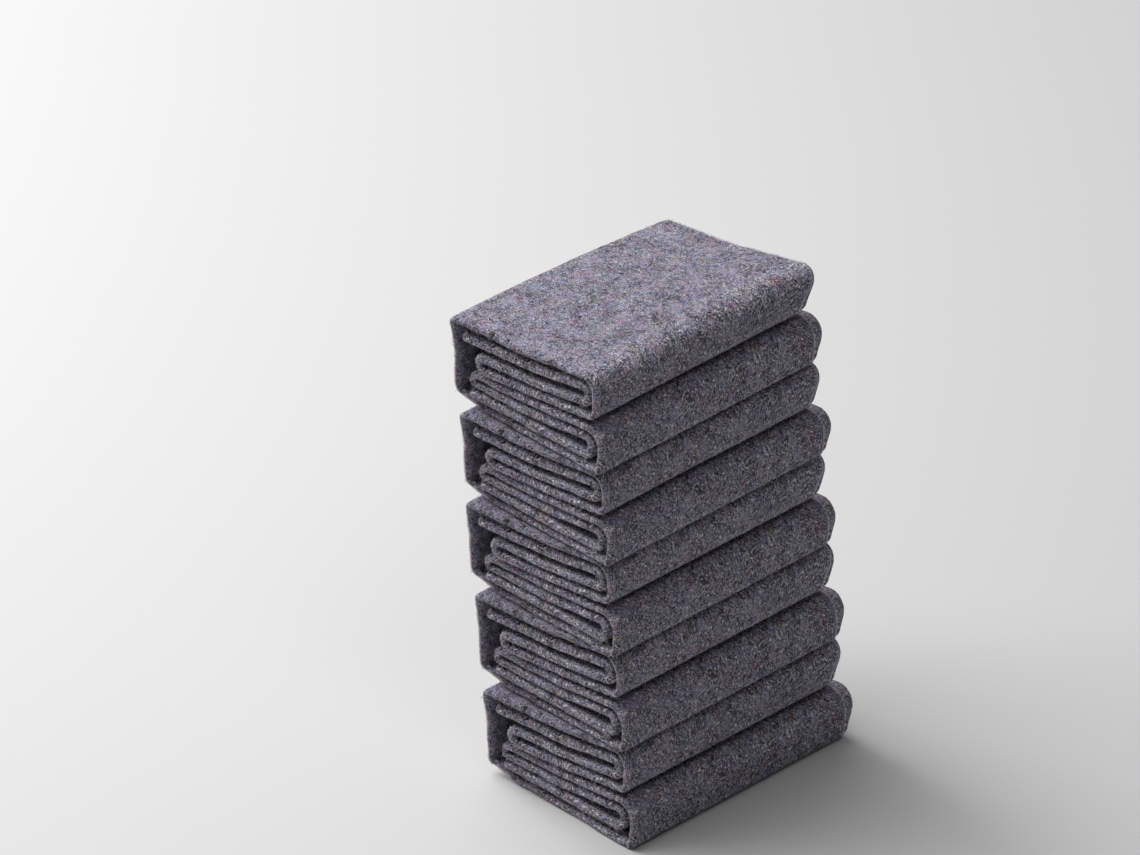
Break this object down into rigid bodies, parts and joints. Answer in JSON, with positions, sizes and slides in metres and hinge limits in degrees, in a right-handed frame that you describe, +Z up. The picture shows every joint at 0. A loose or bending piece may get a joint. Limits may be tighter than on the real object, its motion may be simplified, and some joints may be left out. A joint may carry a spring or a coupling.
{
  "type": "stack of folded moving blankets",
  "caption": "Neat leaning stack of folded grey recycled-fibre felt moving blankets, each a back-and-forth fold inside a closed spine, with rolled edges along one long side.",
  "frame": {"origin": "on the floor, under the middle of the stack's box", "axes": "+Z up; +X from the closed spines to the rolled side; +Y from the folded front ends to the far ends"},
  "size_m": [0.2548, 0.397, 0.615],
  "materials": {
    "felt": "needle-punched recycled-fibre felt, matt and fuzzy, blue-grey with mixed coloured fibres"
  },
  "bodies": {
    "root": {"blanket_1": "felt", "blanket_2": "felt", "blanket_3": "felt", "blanket_4": "felt", "blanket_5": "felt"}
  },
  "joints": []
}
